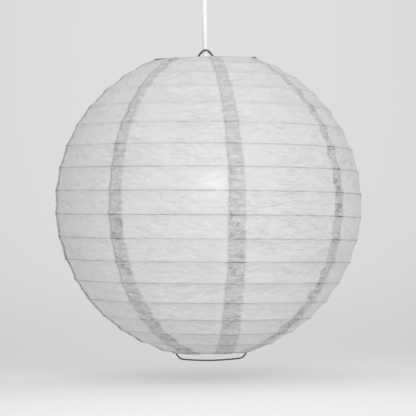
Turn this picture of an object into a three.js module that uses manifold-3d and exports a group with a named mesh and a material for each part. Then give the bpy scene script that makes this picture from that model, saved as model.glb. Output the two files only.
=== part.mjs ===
// Round paper lantern on a ceiling pendant.
// Millimetres, +Z up, front towards -Y. The origin is on the ceiling, at the middle of the
// rose's flat back, and everything hangs below it on the Z axis.
//
// From the top down: a ceiling rose with a screwed-on cover, a short taut flex, a lamp holder
// with its bulb, and the lantern. The lantern is one spiral wire rib between two rings, covered
// by eight paper gores that overlap at their seams, and stretched by a bent-wire expander whose
// two top bars hang on the flange of the holder's cord boot.

import * as THREE from 'three';
import { mergeVertices } from 'three/addons/utils/BufferGeometryUtils.js';
import Module from 'manifold-3d';

const wasm = await Module();
wasm.setup();

// ---- driving dimensions -------------------------------------------------------------------

const GAP = 0.3; // kept between pieces that touch

// Lantern sphere
const LANTERN_Z = -297; // centre of the sphere, below the ceiling
const PAPER_R = 175.2; // outer face of a single layer of paper, for a 350 mm lantern
const PAPER_T = 0.35;
const TOP_LATITUDE = 69.3; // degrees above the equator, where the paper ends
const BOTTOM_LATITUDE = -75.6;

// Spiral rib
const TURNS = 17;
const SPIRAL_START = 30; // degrees from +X, anticlockwise from above
const PITCH = (TOP_LATITUDE - BOTTOM_LATITUDE) / TURNS; // degrees of latitude per turn
const RIB_WIRE_R = 0.55;
const RIB_R = PAPER_R - 1.85; // clear of the paper's flat panels
const RIB_STEPS_PER_TURN = 24;

// Rings
const RING_WIRE_R = 1.0;
const RING_R = PAPER_R - 1.9; // from the sphere's centre to the middle of the ring's wire

// Gores
const GORES = 8;
const FIRST_SEAM = 280; // degrees from +X
const LAP_TOP = 10; // width of the overlap at the top ring, the equator and the bottom ring
const LAP_EQUATOR = 16;
const LAP_BOTTOM = 20;
const LAP_GAP = 0.35;
const LAP_RAMP = 2; // width over which the upper layer climbs on to the lower one
const GORE_BAYS = 4; // panels between two overlaps

// Expander
const WIRE_R = 0.85;
const LEG_X = 40.6; // legs run up just inside the bottom ring
const HOOK_REACH = 3.3; // how far a top hook reaches out past the top ring's wire
const BAR_Y = 4.45; // the two top bars pass the cord on either side
const BAR_RISE = 4.0; // top bars above the middle of the top ring's wire
const ARCH_RISE = 9.5; // arch over the cord boot, above the bars
const ARCH_HALF = 9.5;
const BAR_PAST_CENTRE = 26;
const SPAN_DROP = 8.6; // bottom span below the middle of the bottom ring's wire
const SPAN_BOW = 2.2;

// Pendant set
const CORD_R = 3.2;
const BOOT_TOP = LANTERN_Z + 168.4;
const BOOT_H = 28;
const BOOT_FLANGE_R = 8;
const CAP_H = 31.7;
const BODY_H = 40;
const HOLDER_R = 20.5;
const SHELL_WALL = 2;

// Bulb, an A60 on a 27 mm screw cap
const BULB_TOP = LANTERN_Z + 95;
const BULB_R = 30;
const BULB_LENGTH = 108;
const BULB_CAP_R = 12.9;
const GLASS_T = 1;

// Ceiling rose
const ROSE_R = 40;
const BASE_R = 36;
const BASE_T = 5;
const BOSS_R = 32;
const BOSS_H = 9;
const PIVOT_Z = -54; // middle of the ball that the flex hangs from
const BALL_R = 7;
const NECK_R = 10.5;
const NECK_DEPTH = 4.5; // neck's lower face, below the pivot
const SCREW_X = 20;

// ---- materials ----------------------------------------------------------------------------

function material(color, roughness, metalness = 0) {
  return new THREE.MeshStandardMaterial({ color, roughness, metalness });
}

const PAPER = material('#efeeec', 0.9);
const WIRE = material('#4c4d50', 0.45, 0.85);
const WHITE_PLASTIC = material('#f0efec', 0.35);
const WHITE_PVC = material('#e9e8e5', 0.5);
const NYLON = material('#e4e2dc', 0.6);
const PHENOLIC = material('#d8d4ca', 0.55);
const BRASS = material('#b5974f', 0.35, 0.9);
const ALUMINIUM = material('#b9babc', 0.35, 0.9);
const STEEL = material('#8b8d90', 0.4, 0.9);
const BLACK_GLASS = material('#1d1d1f', 0.2);
const OPAL_GLASS = material('#f6f5f2', 0.3);

// ---- helpers ------------------------------------------------------------------------------

const rad = THREE.MathUtils.degToRad;
const LATHE_SIDES = 24;

/** Place a named mesh in a group. */
function add(group, name, geometry, mat) {
  const mesh = new THREE.Mesh(geometry, mat);
  mesh.name = name;
  group.add(mesh);
  return mesh;
}

/** Turn a closed outline of [radius, z] points, listed anticlockwise, about the Z axis. */
function turned(outline, sides = LATHE_SIDES) {
  const profile = outline.map(([r, z]) => new THREE.Vector2(r, z));
  const touchesAxis = outline.at(0)[0] === 0 && outline.at(-1)[0] === 0;
  if (!touchesAxis) profile.push(profile[0].clone());
  const geometry = new THREE.LatheGeometry(profile, sides);
  geometry.rotateX(Math.PI / 2);
  return geometry;
}

/** Points [radius, z] on an arc about (centreR, centreZ), from one angle to another. */
function arc(centreR, centreZ, radiusR, radiusZ, from, to, steps) {
  const points = [];
  for (let i = 0; i <= steps; i++) {
    const a = rad(from + ((to - from) * i) / steps);
    points.push([centreR + radiusR * Math.cos(a), centreZ + radiusZ * Math.sin(a)]);
  }
  return points;
}

/** A path that an extrusion follows with one step per listed point. */
class StepPath extends THREE.Curve {
  constructor(points) {
    super();
    this.points = points;
  }

  getPoint(t, target = new THREE.Vector3()) {
    const place = t * (this.points.length - 1);
    const i = Math.min(Math.floor(place), this.points.length - 2);
    return target.lerpVectors(this.points[i], this.points[i + 1], place - i);
  }

  getPointAt(u, target) {
    return this.getPoint(u, target);
  }

  getTangentAt(u, target = new THREE.Vector3()) {
    const last = this.points.length - 1;
    const i = Math.round(u * last);
    const before = this.points[Math.max(i - 1, 0)];
    const here = this.points[i];
    const after = this.points[Math.min(i + 1, last)];
    const arriving = here.clone().sub(before).normalize();
    const leaving = after.clone().sub(here).normalize();
    return target.addVectors(arriving, leaving).normalize();
  }
}

/** Round wire or tube through the points, with flat ends. */
function rod(points, radius, sides) {
  const section = new THREE.Shape();
  for (let i = 0; i < sides; i++) {
    const a = (2 * Math.PI * (i + 0.5)) / sides;
    const method = i === 0 ? 'moveTo' : 'lineTo';
    section[method](radius * Math.cos(a), radius * Math.sin(a));
  }
  section.closePath();
  return new THREE.ExtrudeGeometry(section, {
    extrudePath: new StepPath(points),
    steps: points.length - 1,
    bevelEnabled: false,
  });
}

/** Round every inner corner of a polyline to a bend radius. */
function bent(corners, bendRadius, stepsPerBend = 3) {
  const points = [corners[0]];
  for (let i = 1; i < corners.length - 1; i++) {
    const arriving = corners[i - 1].clone().sub(corners[i]);
    const leaving = corners[i + 1].clone().sub(corners[i]);
    const half = arriving.angleTo(leaving) / 2;
    const wanted = bendRadius / Math.tan(half);
    const room = 0.48 * Math.min(arriving.length(), leaving.length());
    const cut = Math.min(wanted, room);
    const start = corners[i].clone().addScaledVector(arriving.normalize(), cut);
    const end = corners[i].clone().addScaledVector(leaving.normalize(), cut);
    const bend = new THREE.QuadraticBezierCurve3(start, corners[i], end);
    points.push(...bend.getPoints(stepsPerBend));
  }
  points.push(corners.at(-1));
  return points;
}

function toManifold(geometry) {
  const bare = geometry.clone();
  bare.deleteAttribute('normal');
  bare.deleteAttribute('uv');
  const welded = mergeVertices(bare, 1e-4);
  const vertProperties = new Float32Array(welded.attributes.position.array);
  const triVerts = new Uint32Array(welded.index.array);
  return new wasm.Manifold(new wasm.Mesh({ numProp: 3, vertProperties, triVerts }));
}

function toGeometry(solid) {
  const mesh = solid.getMesh();
  const geometry = new THREE.BufferGeometry();
  geometry.setAttribute('position', new THREE.BufferAttribute(mesh.vertProperties, 3));
  geometry.setIndex(new THREE.BufferAttribute(mesh.triVerts, 1));
  return geometry;
}

/** The first solid with all the others cut out of it. */
function cut(geometry, ...tools) {
  let solid = toManifold(geometry);
  for (const tool of tools) solid = solid.subtract(toManifold(tool));
  return toGeometry(solid);
}

/** An upright or lying drill, centred on a point. */
function drill(radius, length, x, y, z, lying = false) {
  const geometry = new THREE.CylinderGeometry(radius, radius, length, 16);
  if (!lying) geometry.rotateX(Math.PI / 2);
  geometry.translate(x, y, z);
  return geometry;
}

// ---- ceiling rose -------------------------------------------------------------------------

/** Plate whose flat back has no corner in its middle, with a threaded boss under it. */
function roseBase() {
  const outline = new THREE.Shape();
  outline.absarc(0, 0, BASE_R, 0, 2 * Math.PI);
  const plate = new THREE.ExtrudeGeometry(outline, {
    depth: BASE_T,
    bevelEnabled: false,
    curveSegments: 25,
  });
  plate.translate(0, 0, -BASE_T);
  const bossInner = BOSS_R - 3;
  const boss = turned([
    [bossInner, -BASE_T - BOSS_H],
    [BOSS_R, -BASE_T - BOSS_H],
    [BOSS_R, -BASE_T / 2],
    [bossInner, -BASE_T / 2],
  ]);
  const body = toGeometry(toManifold(plate).add(toManifold(boss)));
  const holes = [-SCREW_X, SCREW_X].map((x) => drill(2.3, 3 * BASE_T, x, 0, 0));
  const wireEntry = drill(5, 3 * BASE_T, 0, -16, 0);
  return cut(body, wireEntry, ...holes);
}

/** Pan-head screw, drawn as far as the ceiling's surface. */
function roseScrew() {
  const shankR = 1.9;
  const headR = 4;
  const underHead = -BASE_T - GAP;
  const headH = 2.4;
  return turned(
    [
      [0, underHead - headH],
      [headR * 0.6, underHead - headH * 0.9],
      [headR, underHead - headH * 0.4],
      [headR, underHead],
      [shankR, underHead],
      [shankR, -GAP],
      [0, -GAP],
    ],
    14,
  );
}

function roseTerminals() {
  const width = 28;
  const depth = 11;
  const height = 13;
  const y = 14;
  const z = -BASE_T - GAP - height / 2;
  const block = new THREE.BoxGeometry(width, depth, height);
  block.translate(0, y, z);
  const bores = [-9, 0, 9].map((x) => drill(2.2, 2 * depth, x, y, z - 2, true));
  return cut(block, ...bores);
}

function roseCover() {
  const rim = -2 * GAP;
  const shoulder = -8; // where the side starts to round towards the neck
  const underPlate = -BASE_T - 2 * GAP;
  const collarR = BOSS_R + 2 * GAP;
  const collarEnd = -BASE_T - BOSS_H - 1;
  const neckTop = PIVOT_Z + 5;
  const seatR = BALL_R + GAP;
  const innerBottom = PIVOT_Z + 7.5;
  const mouth = PIVOT_Z - NECK_DEPTH;
  const mouthAngle = THREE.MathUtils.radToDeg(Math.asin(NECK_DEPTH / seatR));
  const innerR = ROSE_R - seatR - 4.7;
  const innerDrop = shoulder - innerBottom;
  const collarAngle = THREE.MathUtils.radToDeg(Math.asin((shoulder - collarEnd) / innerDrop));
  return turned([
    ...arc(0, PIVOT_Z, seatR, seatR, -mouthAngle, 0, 3),
    ...arc(seatR, shoulder, innerR, -innerDrop, 90, collarAngle, 6),
    [collarR, collarEnd],
    [collarR, underPlate],
    [BASE_R + 1, underPlate],
    [BASE_R + 1, rim],
    [ROSE_R, rim],
    ...arc(NECK_R, shoulder, ROSE_R - NECK_R, shoulder - neckTop, 0, -90, 8),
    [NECK_R, mouth + 1],
    [NECK_R - 1, mouth],
  ].reverse());
}

function cordGrip() {
  const ball = new THREE.SphereGeometry(BALL_R, 16, 10);
  ball.rotateX(Math.PI / 2);
  ball.translate(0, 0, PIVOT_Z);
  return ball;
}

// ---- pendant set --------------------------------------------------------------------------

const BOOT_BOTTOM = BOOT_TOP - BOOT_H;
const CAP_TOP = BOOT_BOTTOM - GAP;
const CAP_BOTTOM = CAP_TOP - CAP_H;
const BODY_TOP = CAP_BOTTOM - GAP;
const BODY_BOTTOM = BODY_TOP - BODY_H;
const CORD_TOP = PIVOT_Z - BALL_R - 0.4;
const CORD_BOTTOM = CAP_TOP - 8;

function pendantCord() {
  const steps = 8;
  const points = [];
  for (let i = 0; i <= steps; i++) {
    points.push(new THREE.Vector3(0, 0, CORD_TOP + ((CORD_BOTTOM - CORD_TOP) * i) / steps));
  }
  return rod(points, CORD_R, 10);
}

/** Moulded boot with a flange at its top, ribbed below it. */
function cordBoot() {
  const bore = CORD_R + GAP + 0.05;
  const neck = 5.2;
  const foot = 7;
  const ribs = 3;
  const ribDepth = 0.8;
  const flangeT = 2.4;
  const ribbedTop = BOOT_TOP - flangeT - 1;
  const pitch = (ribbedTop - BOOT_BOTTOM - 4) / ribs;
  const side = [];
  for (let i = 0; i < ribs; i++) {
    const z = ribbedTop - pitch * i;
    const r = neck + ((foot - neck) * i) / ribs;
    side.push([r, z], [r, z - pitch * 0.35], [r + ribDepth, z - pitch * 0.5]);
    side.push([r + ribDepth, z - pitch * 0.85]);
  }
  return turned([
    [bore, BOOT_BOTTOM],
    [foot, BOOT_BOTTOM],
    [foot, BOOT_BOTTOM + 3],
    ...side.reverse(),
    [BOOT_FLANGE_R, BOOT_TOP - flangeT],
    [BOOT_FLANGE_R, BOOT_TOP - 0.6],
    [BOOT_FLANGE_R - 0.6, BOOT_TOP],
    [bore, BOOT_TOP],
  ], 18);
}

function holderCap() {
  const hole = CORD_R + GAP + 0.05;
  const crownR = 8.5;
  const bulge = HOLDER_R - crownR;
  const drop = CAP_H - 6;
  const inner = SHELL_WALL;
  return turned([
    [hole, CAP_TOP - inner],
    ...arc(crownR, CAP_TOP - drop, bulge - inner, drop - inner, 90, 0, 7),
    [HOLDER_R - inner, CAP_BOTTOM],
    [HOLDER_R, CAP_BOTTOM],
    ...arc(crownR, CAP_TOP - drop, bulge, drop, 0, 90, 7),
    [hole, CAP_TOP],
  ]);
}

function holderBody() {
  const inner = HOLDER_R - SHELL_WALL - 0.9;
  const skirtR = HOLDER_R + 1;
  const skirtTop = BODY_BOTTOM + 13;
  const groove = 0.8;
  return turned([
    [skirtR - SHELL_WALL, BODY_BOTTOM],
    [skirtR, BODY_BOTTOM],
    [skirtR, skirtTop],
    [HOLDER_R, skirtTop + 1],
    [HOLDER_R, BODY_TOP - 5],
    [HOLDER_R - groove, BODY_TOP - 4.2],
    [HOLDER_R - groove, BODY_TOP - 2.8],
    [HOLDER_R, BODY_TOP - 2],
    [HOLDER_R, BODY_TOP],
    [inner, BODY_TOP],
    [inner, BODY_BOTTOM + 4],
  ]);
}

const INSERT_TOP = BODY_TOP + 3;
const INSERT_FLOOR = BULB_TOP + 4;
const THREAD_TOP = INSERT_FLOOR - 6;
const THREAD_BOTTOM = BODY_BOTTOM + 3;
const THREAD_IN = BULB_CAP_R + 0.5;
const THREAD_OUT = THREAD_IN + 0.7;

/** Insulating insert: a cup, mouth down, that holds the screw shell and the middle contact. */
function holderInsert() {
  const outer = HOLDER_R - SHELL_WALL - 0.9 - 0.4;
  const inner = THREAD_OUT + GAP;
  const rivetHole = 2.3;
  return turned([
    [rivetHole, INSERT_FLOOR],
    [inner, INSERT_FLOOR],
    [inner, BODY_BOTTOM + 6],
    [outer, BODY_BOTTOM + 6],
    [outer, INSERT_TOP],
    [rivetHole, INSERT_TOP],
  ]);
}

function holderThread() {
  const outline = [];
  const waves = 6;
  const swell = 0.25;
  const pitch = (THREAD_TOP - THREAD_BOTTOM) / (2 * waves);
  for (let i = 0; i <= 2 * waves; i++) {
    outline.push([THREAD_OUT - (i % 2) * swell, THREAD_BOTTOM + i * pitch]);
  }
  outline.push([THREAD_IN, THREAD_TOP], [THREAD_IN, THREAD_BOTTOM]);
  return turned(outline, 20);
}

function holderContact() {
  const rivetR = 2;
  const headR = 4.2;
  return turned(
    [
      [0, BULB_TOP + 0.4],
      [headR * 0.7, BULB_TOP + 0.6],
      [headR, BULB_TOP + 1.4],
      [headR, INSERT_FLOOR - GAP],
      [rivetR, INSERT_FLOOR - GAP],
      [rivetR, INSERT_TOP + 1],
      [0, INSERT_TOP + 1],
    ],
    16,
  );
}

// ---- bulb ---------------------------------------------------------------------------------

const TIP_T = 1.5;
const INSULATOR_H = 4.2;
const INSULATOR_TOP = BULB_TOP - TIP_T - GAP;
const BULB_CAP_TOP = INSULATOR_TOP - INSULATOR_H - GAP;
const BULB_CAP_H = 20.5;
const GLASS_TOP = BULB_CAP_TOP - BULB_CAP_H - GAP;
const BULB_BOTTOM = BULB_TOP - BULB_LENGTH;

function bulbTip() {
  return turned(
    [
      [0, BULB_TOP - TIP_T],
      [4.4, BULB_TOP - TIP_T],
      [4.4, BULB_TOP - TIP_T * 0.5],
      [2.6, BULB_TOP],
      [0, BULB_TOP],
    ],
    16,
  );
}

function bulbInsulator() {
  return turned(
    [
      [0, INSULATOR_TOP - INSULATOR_H],
      [9.6, INSULATOR_TOP - INSULATOR_H],
      [4.8, INSULATOR_TOP],
      [0, INSULATOR_TOP],
    ],
    20,
  );
}

/** Screw cap, with its thread drawn as level waves. */
function bulbCap() {
  const waves = 5;
  const swell = 0.7;
  const wall = 1.2;
  const shellTop = BULB_CAP_TOP - 2;
  const pitch = (BULB_CAP_H - 4) / (2 * waves);
  const outline = [[BULB_CAP_R - wall, BULB_CAP_TOP - BULB_CAP_H]];
  for (let i = 0; i <= 2 * waves; i++) {
    const r = BULB_CAP_R - (i % 2) * swell;
    outline.push([r, shellTop - (2 * waves - i) * pitch]);
  }
  outline.push([9.8, BULB_CAP_TOP], [9.8 - wall, BULB_CAP_TOP]);
  outline.push([BULB_CAP_R - wall - swell, shellTop]);
  return turned(outline, 20);
}

/** Opal glass: a thin shell, open at the neck, where the cap covers it. */
function bulbGlass() {
  const centre = BULB_BOTTOM + BULB_R;
  const shoulder = 28;
  const side = (t) => {
    const neck = BULB_CAP_R - 0.8 - t;
    return [
      ...arc(0, centre, BULB_R - t, BULB_R - t, -90, shoulder, 10),
      [neck + 1.2, GLASS_TOP - 11],
      [neck + 0.2, GLASS_TOP - 6.5],
      [neck, GLASS_TOP],
    ];
  };
  const outer = side(0);
  const inner = side(GLASS_T).reverse();
  outer[0][0] = 0;
  inner.at(-1)[0] = 0;
  return turned([...outer, ...inner]);
}

// ---- lantern ------------------------------------------------------------------------------
// Everything below is modelled about the middle of the sphere.

/** Point on a sphere, from degrees anticlockwise from +X and degrees above the equator. */
function onSphere(radius, angle, latitude) {
  const ring = radius * Math.cos(rad(latitude));
  return new THREE.Vector3(
    ring * Math.cos(rad(angle)),
    ring * Math.sin(rad(angle)),
    radius * Math.sin(rad(latitude)),
  );
}

/** Latitude of the spiral at an angle that keeps growing turn after turn. */
function spiralLatitude(angle) {
  return TOP_LATITUDE - (PITCH * (angle - SPIRAL_START)) / 360;
}

/** The spiral wire, from just below the top ring to just above the bottom ring. */
function spiralRib() {
  const clear = RING_WIRE_R + RIB_WIRE_R + 2 * GAP;
  const skip = (360 * THREE.MathUtils.radToDeg(clear / RIB_R)) / PITCH;
  const from = SPIRAL_START + skip;
  const to = SPIRAL_START + 360 * TURNS - skip;
  const steps = Math.round(((to - from) / 360) * RIB_STEPS_PER_TURN);
  const points = [];
  for (let i = 0; i <= steps; i++) {
    const angle = from + ((to - from) * i) / steps;
    points.push(onSphere(RIB_R, angle, spiralLatitude(angle)));
  }
  return rod(points, RIB_WIRE_R, 4);
}

const ringAt = (latitude) => ({
  r: RING_R * Math.cos(rad(latitude)),
  z: RING_R * Math.sin(rad(latitude)),
});
const TOP_RING = ringAt(TOP_LATITUDE);
const BOTTOM_RING = ringAt(BOTTOM_LATITUDE);

function ring({ r, z }) {
  const geometry = new THREE.TorusGeometry(r, RING_WIRE_R, 6, 30);
  geometry.translate(0, 0, z);
  return geometry;
}

/** Degrees that the overlap covers at a latitude. */
function lapAngle(latitude) {
  const share = latitude > 0 ? latitude / TOP_LATITUDE : latitude / BOTTOM_LATITUDE;
  const end = latitude > 0 ? LAP_TOP : LAP_BOTTOM;
  const width = LAP_EQUATOR + (end - LAP_EQUATOR) * share;
  return THREE.MathUtils.radToDeg(width / (PAPER_R * Math.cos(rad(latitude))));
}

/**
 * One paper gore, from one seam to the next. Its rows of corners follow the spiral rib, and its
 * far edge climbs over the near edge of the next gore.
 */
function paperGore(index) {
  const step = 360 / GORES;
  let from = FIRST_SEAM + step * index;
  if (from >= 360) from -= 360;
  const to = from + step;
  const rim = 0.4; // least latitude between the paper's end and the first rib

  const latitudeAt = (row, angle) => {
    if (row < 0) return TOP_LATITUDE;
    if (row > TURNS) return BOTTOM_LATITUDE;
    const rib = spiralLatitude(angle + 360 * row);
    return THREE.MathUtils.clamp(rib, BOTTOM_LATITUDE + rim, TOP_LATITUDE - rim);
  };

  const columnsOf = (row) => {
    const near = lapAngle(latitudeAt(row, from)) / 2;
    const far = lapAngle(latitudeAt(row, to)) / 2;
    const ramp = (far * 2 * LAP_RAMP) / LAP_EQUATOR;
    const start = from + near;
    const end = to - far - ramp;
    const columns = [
      { angle: from - near, lift: 0 },
      { angle: from, lift: 0 },
    ];
    for (let i = 0; i <= GORE_BAYS; i++) {
      columns.push({ angle: start + ((end - start) * i) / GORE_BAYS, lift: 0 });
    }
    const lift = PAPER_T + LAP_GAP;
    columns.push({ angle: to - far, lift }, { angle: to, lift }, { angle: to + far, lift });
    return columns;
  };

  const outer = [];
  const inner = [];
  for (let row = -1; row <= TURNS + 1; row++) {
    for (const { angle, lift } of columnsOf(row)) {
      const latitude = latitudeAt(row, angle);
      outer.push(onSphere(PAPER_R + lift, angle, latitude));
      inner.push(onSphere(PAPER_R + lift - PAPER_T, angle, latitude));
    }
  }
  const rows = TURNS + 3;
  return shell(outer, inner, rows, outer.length / rows);
}

/** Closed shell between two grids of points, each listed row by row from the top. */
function shell(outer, inner, rows, columns) {
  const positions = [...outer, ...inner].flatMap((p) => [p.x, p.y, p.z]);
  const under = outer.length;
  const at = (row, column) => row * columns + column;
  const index = [];
  const quad = (a, b, c, d) => index.push(a, b, c, a, c, d);
  for (let i = 0; i < rows - 1; i++) {
    for (let j = 0; j < columns - 1; j++) {
      const [a, b, c, d] = [at(i, j), at(i + 1, j), at(i + 1, j + 1), at(i, j + 1)];
      quad(a, b, c, d);
      index.push(under + a, under + c, under + b, under + a, under + d, under + c);
    }
  }
  for (let i = 0; i < rows - 1; i++) {
    for (const [a, b] of [
      [at(i + 1, 0), at(i, 0)],
      [at(i, columns - 1), at(i + 1, columns - 1)],
    ]) {
      quad(a, b, under + b, under + a);
    }
  }
  for (let j = 0; j < columns - 1; j++) {
    for (const [a, b] of [
      [at(0, j), at(0, j + 1)],
      [at(rows - 1, j + 1), at(rows - 1, j)],
    ]) {
      quad(a, b, under + b, under + a);
    }
  }
  const geometry = new THREE.BufferGeometry();
  geometry.setAttribute('position', new THREE.Float32BufferAttribute(positions, 3));
  geometry.setIndex(index);
  return geometry;
}

/** One side of the expander, from the end of the bottom span up to the end of its top bar. */
function expanderSide(side) {
  const bar = TOP_RING.z + BAR_RISE;
  const underRing = TOP_RING.z - RING_WIRE_R - WIRE_R - GAP;
  const hookEnd = TOP_RING.r + HOOK_REACH;
  const besideRing = TOP_RING.r - RING_WIRE_R - WIRE_R - 2 * GAP;
  const legTop = TOP_RING.z - 15;
  const spanEnd = BOTTOM_RING.z - SPAN_DROP;
  const archFrom = ARCH_HALF + 5;
  const at = (x, z, y = 0) => new THREE.Vector3(side * x, side * y, z);
  const corners = [
    at(LEG_X - 5, spanEnd),
    at(LEG_X, BOTTOM_RING.z - 2),
    at(LEG_X, legTop),
    at(besideRing, underRing - 3),
    at(hookEnd, underRing - 2.4),
    at(hookEnd, underRing),
    at(besideRing, underRing),
    at(besideRing, bar),
    at(archFrom + 12, bar, BAR_Y),
    at(archFrom, bar, BAR_Y),
  ];
  const arch = [];
  const archSteps = 8;
  for (let i = 0; i <= archSteps; i++) {
    const x = ARCH_HALF * (1 - (2 * i) / archSteps);
    const rise = ARCH_RISE * (1 - (x / ARCH_HALF) ** 2);
    arch.push(at(x, bar + rise, BAR_Y));
  }
  return [...bent(corners, 2), ...arch, at(-BAR_PAST_CENTRE, bar, BAR_Y)];
}

/** One bent wire: bottom span, two legs, two hooks under the top ring and two top bars. */
function expanderFrame() {
  const right = expanderSide(1);
  const left = expanderSide(-1);
  const spanHalf = LEG_X - 5;
  const spanSteps = 6;
  const span = [];
  for (let i = 1; i < spanSteps; i++) {
    const x = spanHalf * ((2 * i) / spanSteps - 1);
    const bow = SPAN_BOW * (1 - (x / spanHalf) ** 2);
    span.push(new THREE.Vector3(x, 0, BOTTOM_RING.z - SPAN_DROP - bow));
  }
  return rod([...left.reverse(), ...span, ...right], WIRE_R, 5);
}

// ---- assembly -----------------------------------------------------------------------------

const object = new THREE.Group();

const rose = new THREE.Group();
add(rose, 'rose_base', roseBase(), NYLON);
add(rose, 'rose_terminal_block', roseTerminals(), NYLON);
add(rose, 'rose_screw_left', roseScrew(), STEEL).position.x = -SCREW_X;
add(rose, 'rose_screw_right', roseScrew(), STEEL).position.x = SCREW_X;
add(rose, 'rose_cover', roseCover(), WHITE_PLASTIC);
add(rose, 'cord_grip', cordGrip(), NYLON);

const pendant = new THREE.Group();
add(pendant, 'pendant_cord', pendantCord(), WHITE_PVC);
add(pendant, 'cord_boot', cordBoot(), WHITE_PVC);
add(pendant, 'holder_cap', holderCap(), WHITE_PLASTIC);
add(pendant, 'holder_body', holderBody(), WHITE_PLASTIC);
add(pendant, 'holder_insert', holderInsert(), PHENOLIC);
add(pendant, 'holder_thread', holderThread(), BRASS);
add(pendant, 'holder_contact', holderContact(), BRASS);

const bulb = new THREE.Group();
add(bulb, 'bulb_tip', bulbTip(), STEEL);
add(bulb, 'bulb_insulator', bulbInsulator(), BLACK_GLASS);
add(bulb, 'bulb_cap', bulbCap(), ALUMINIUM);
add(bulb, 'bulb_glass', bulbGlass(), OPAL_GLASS);

const lantern = new THREE.Group();
lantern.position.z = LANTERN_Z;
add(lantern, 'expander_frame', expanderFrame(), WIRE);
add(lantern, 'top_ring', ring(TOP_RING), WIRE);
add(lantern, 'bottom_ring', ring(BOTTOM_RING), WIRE);
add(lantern, 'spiral_rib', spiralRib(), WIRE);
for (let i = 0; i < GORES; i++) {
  add(lantern, `paper_gore_${i + 1}`, paperGore(i), PAPER);
}

object.add(rose, pendant, bulb, lantern);

export default object;
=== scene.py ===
"""Looks of a round paper lantern on a ceiling pendant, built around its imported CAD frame.

Everything is in metres in the frame's own axes: +Z up, the front towards -Y, the origin on the
ceiling. Lengths named with _MM are millimetres, as the CAD source has them.
"""

import math

import bmesh
import bpy
import numpy as np
from mathutils import Matrix, Vector

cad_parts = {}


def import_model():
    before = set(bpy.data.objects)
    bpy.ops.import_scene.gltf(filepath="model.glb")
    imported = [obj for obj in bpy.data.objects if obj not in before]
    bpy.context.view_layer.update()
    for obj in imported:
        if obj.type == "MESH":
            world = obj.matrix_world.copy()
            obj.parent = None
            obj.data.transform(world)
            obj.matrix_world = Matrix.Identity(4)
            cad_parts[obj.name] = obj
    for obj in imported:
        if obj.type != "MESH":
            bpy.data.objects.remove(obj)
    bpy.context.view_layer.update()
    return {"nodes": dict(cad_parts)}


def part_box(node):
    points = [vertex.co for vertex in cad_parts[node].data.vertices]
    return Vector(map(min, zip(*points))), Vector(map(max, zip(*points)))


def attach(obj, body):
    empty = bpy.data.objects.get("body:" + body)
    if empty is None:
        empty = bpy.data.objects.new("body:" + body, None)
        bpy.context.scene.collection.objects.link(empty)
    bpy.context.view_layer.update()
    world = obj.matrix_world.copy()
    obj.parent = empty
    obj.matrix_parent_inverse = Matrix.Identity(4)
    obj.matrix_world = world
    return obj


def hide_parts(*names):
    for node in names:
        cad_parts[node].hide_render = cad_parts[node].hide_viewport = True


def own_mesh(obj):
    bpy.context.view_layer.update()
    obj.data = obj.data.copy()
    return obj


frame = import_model()

MM = 0.001

# ---- sizes that the CAD model was drawn from -----------------------------------------------

CENTRE_Z = -0.297
PAPER_R_MM = 174.55  # middle of a single layer of paper, where it lies on the rib
HALF_PAPER_MM = 0.175
TOP_LATITUDE = 69.3
BOTTOM_LATITUDE = -75.6
TURNS = 17
SPIRAL_START = 30.0
PITCH = (TOP_LATITUDE - BOTTOM_LATITUDE) / TURNS
RIB_WIRE_MM = 0.55
RING_WIRE_MM = 1.0
RING_R_MM = 173.3
GORES = 8
FIRST_SEAM = 280.0
LAP_MM = {"top": 10.0, "equator": 16.0, "bottom": 20.0}
HEM_FLAP_MM = 8.0
WRAP_ROWS = 8  # rows of the paper's grid round a ring's wire
FLAP_ROWS = 5  # and along the flap inside
WIRE_MM = 0.85
PIVOT_Z_MM = -54.0
BALL_R_MM = 7.0
CORD_R_MM = 3.2
BOOT_TOP_MM = -128.6
BOOT_BOTTOM_MM = -156.6
CAP_TOP_MM = -156.9
CAP_BOTTOM_MM = -188.6
BODY_TOP_MM = -188.9
BODY_BOTTOM_MM = -228.9
HOLDER_R_MM = 20.5

rng = np.random.default_rng(20)


# ---- camera ---------------------------------------------------------------------------------

def make_camera():
    """A long lens in front of the lantern, a little under its middle and rolled a little."""
    distance = 2.4
    eye_z = -0.330
    aim_z = -0.3018
    side = -0.0006
    roll = math.radians(-1.1)
    data = bpy.data.cameras.new("camera")
    data.lens = 181.9
    data.sensor_width = 36.0
    camera = bpy.data.objects.new("camera", data)
    eye = Vector((side, -distance, eye_z))
    look = Vector((side, 0.0, aim_z)) - eye
    turn = look.to_track_quat("-Z", "Y").to_matrix().to_4x4()
    camera.matrix_world = Matrix.Translation(eye) @ turn @ Matrix.Rotation(roll, 4, "Z")
    bpy.context.scene.collection.objects.link(camera)
    bpy.context.scene.camera = camera


make_camera()


# ---- node and mesh helpers ------------------------------------------------------------------

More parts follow.
